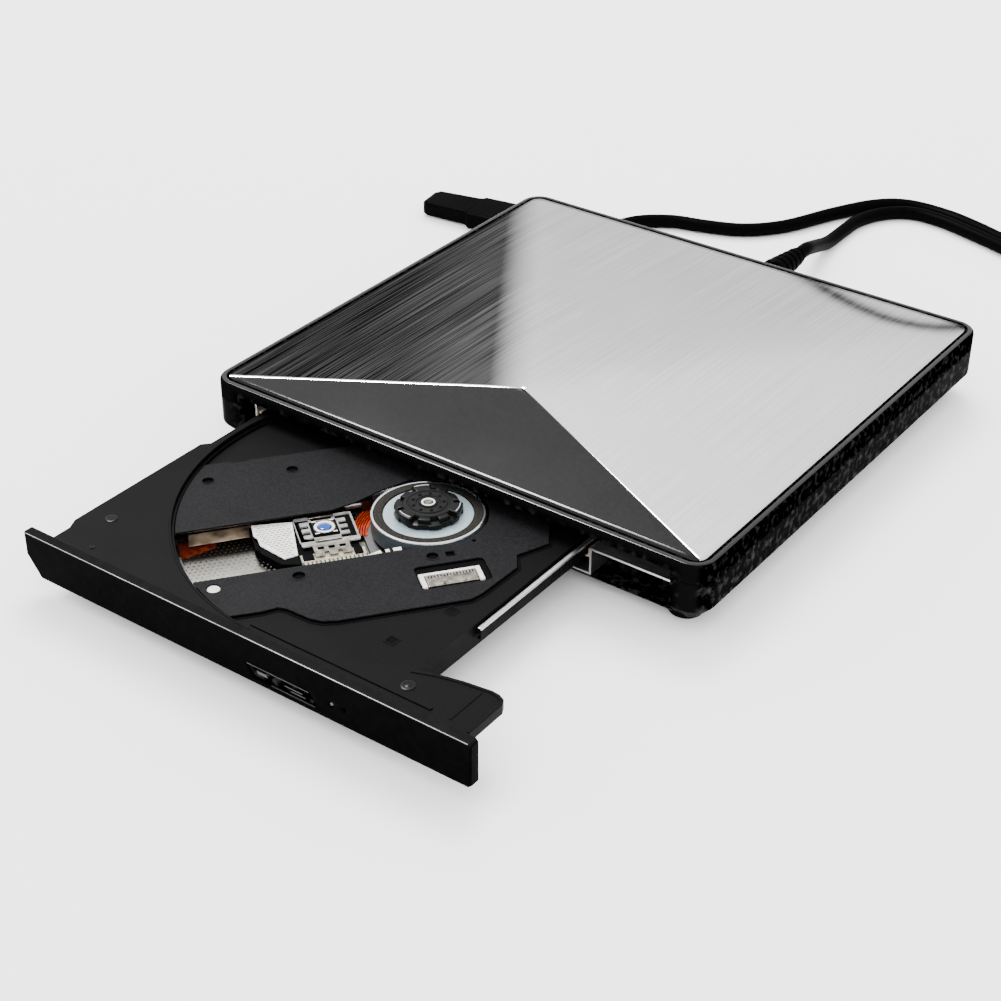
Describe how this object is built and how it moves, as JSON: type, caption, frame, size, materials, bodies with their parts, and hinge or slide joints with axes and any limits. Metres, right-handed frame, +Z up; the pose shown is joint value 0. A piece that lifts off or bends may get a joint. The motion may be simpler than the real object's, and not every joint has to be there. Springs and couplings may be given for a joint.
{
  "type": "external optical drive",
  "caption": "Slim tray-loading optical drive in a case with a low pyramid lid; its tray slides out carrying spindle, clamp hub and laser pickup, and a lead runs from the back to its plug.",
  "frame": {"origin": "under the middle of the drive's own box with the tray at rest, cable left aside, on the surface it stands on", "axes": "+Z up; the tray slides out towards -Y; +X is to the right for someone facing the bezel from behind the drive's front, looking along +Y"},
  "size_m": [0.2384, 0.3307, 0.0259],
  "materials": {
    "black_plastic": "matte",
    "gloss_black": "gloss",
    "tray_plastic": "matte",
    "textured_steel": "textured",
    "brushed_aluminium": "brushed",
    "sheet_steel": "satin",
    "rotor_steel": "turned",
    "rubber": "matte",
    "rubber_pad": "knurled",
    "circuit_board": "satin",
    "copper_flex": "satin",
    "white_plastic": "satin",
    "brass": "turned",
    "lens_glass": "polished",
    "led_lens": "gloss",
    "cable_jacket": "satin"
  },
  "bodies": {
    "case": {"bottom_shell": "black_plastic", "top_frame": "gloss_black", "lid_panel": "brushed_aluminium", "front_facet": "gloss_black", "foot_front_left": "rubber", "foot_front_right": "rubber", "foot_rear_left": "rubber", "foot_rear_right": "rubber", "case_screw_1": "sheet_steel", "case_screw_2": "sheet_steel", "case_screw_3": "sheet_steel", "case_screw_4": "sheet_steel", "drive_chassis": "sheet_steel", "drive_top_cover": "sheet_steel", "guide_rail_left": "white_plastic", "guide_rail_right": "white_plastic", "drive_main_board": "circuit_board", "drive_socket": "black_plastic", "bridge_board": "circuit_board", "usb_socket": "sheet_steel", "drive_plug": "cable_jacket", "strain_relief": "cable_jacket", "usb_cable": "cable_jacket", "usb_plug_body": "cable_jacket", "usb_plug_shell": "gloss_black"},
    "rail_left": {"slide_rail_left": "sheet_steel"},
    "rail_right": {"slide_rail_right": "sheet_steel"},
    "tray": {"tray": "tray_plastic", "bezel": "gloss_black", "led_window": "led_lens", "eject_switch": "sheet_steel", "tray_board": "circuit_board", "mechanism_cover": "textured_steel", "flex_connector": "sheet_steel", "traverse_frame": "sheet_steel", "guide_rod_main": "sheet_steel", "guide_rod_side": "sheet_steel", "sled_motor": "sheet_steel", "spindle_base": "sheet_steel", "spindle_flex": "copper_flex", "latch_solenoid": "black_plastic"},
    "eject_button": {"eject_button": "gloss_black"},
    "latch": {"latch_lever": "sheet_steel"},
    "spindle": {"turntable": "rotor_steel", "turntable_pad": "rubber_pad", "clamp_hub": "black_plastic", "spindle_shaft": "sheet_steel"},
    "pickup": {"pickup_body": "sheet_steel", "pickup_shield": "white_plastic", "lens_actuator": "white_plastic", "pickup_board": "circuit_board"},
    "lens": {"objective_lens": "lens_glass"},
    "lead_screw": {"lead_screw": "brass"}
  },
  "joints": [
    {"name": "tray_slide", "type": "slide", "parent": "case", "child": "tray", "axis": [0, -1, 0], "range_m": [-0.0752, 0.0428]},
    {"name": "rail_left_slide", "type": "slide", "parent": "case", "child": "rail_left", "axis": [0, -1, 0], "range_m": [-0.04512, 0.02568]},
    {"name": "rail_right_slide", "type": "slide", "parent": "case", "child": "rail_right", "axis": [0, -1, 0], "range_m": [-0.04512, 0.02568]},
    {"name": "eject_press", "type": "slide", "parent": "tray", "child": "eject_button", "axis": [0, 1, 0], "range_m": [0, 0.0008], "stiffness_N_per_m": 400, "springref_m": -0.001},
    {"name": "latch_release", "type": "hinge", "parent": "tray", "child": "latch", "pos_m": [0.0313, -0.088, 0.0072], "axis": [0, 0, 1], "range_deg": [0, 22], "stiffness_Nm_per_rad": 0.002, "springref_deg": -5.73},
    {"name": "disc_spin", "type": "hinge", "parent": "tray", "child": "spindle", "pos_m": [0.0045, -0.0458, 0.0117], "axis": [0, 0, 1], "continuous": true},
    {"name": "pickup_slide", "type": "slide", "parent": "tray", "child": "pickup", "axis": [-0.6157, -0.788, 0], "range_m": [-0.0023, 0.031]},
    {"name": "lead_screw_spin", "type": "hinge", "parent": "tray", "child": "lead_screw", "pos_m": [-0.02855, -0.05805, 0.0094], "axis": [-0.6157, -0.788, 0], "range_deg": [-280, 3730]},
    {"name": "lens_focus", "type": "slide", "parent": "pickup", "child": "lens", "axis": [0, 0, 1], "range_m": [-0.0004, 0.0004], "stiffness_N_per_m": 60}
  ],
  "couplings": [
    {"joint": "rail_left_slide", "follows": "tray_slide", "ratio": 0.6},
    {"joint": "rail_right_slide", "follows": "tray_slide", "ratio": 0.6},
    {"joint": "lead_screw_spin", "follows": "pickup_slide", "rad_per_m": 2094.4}
  ]
}
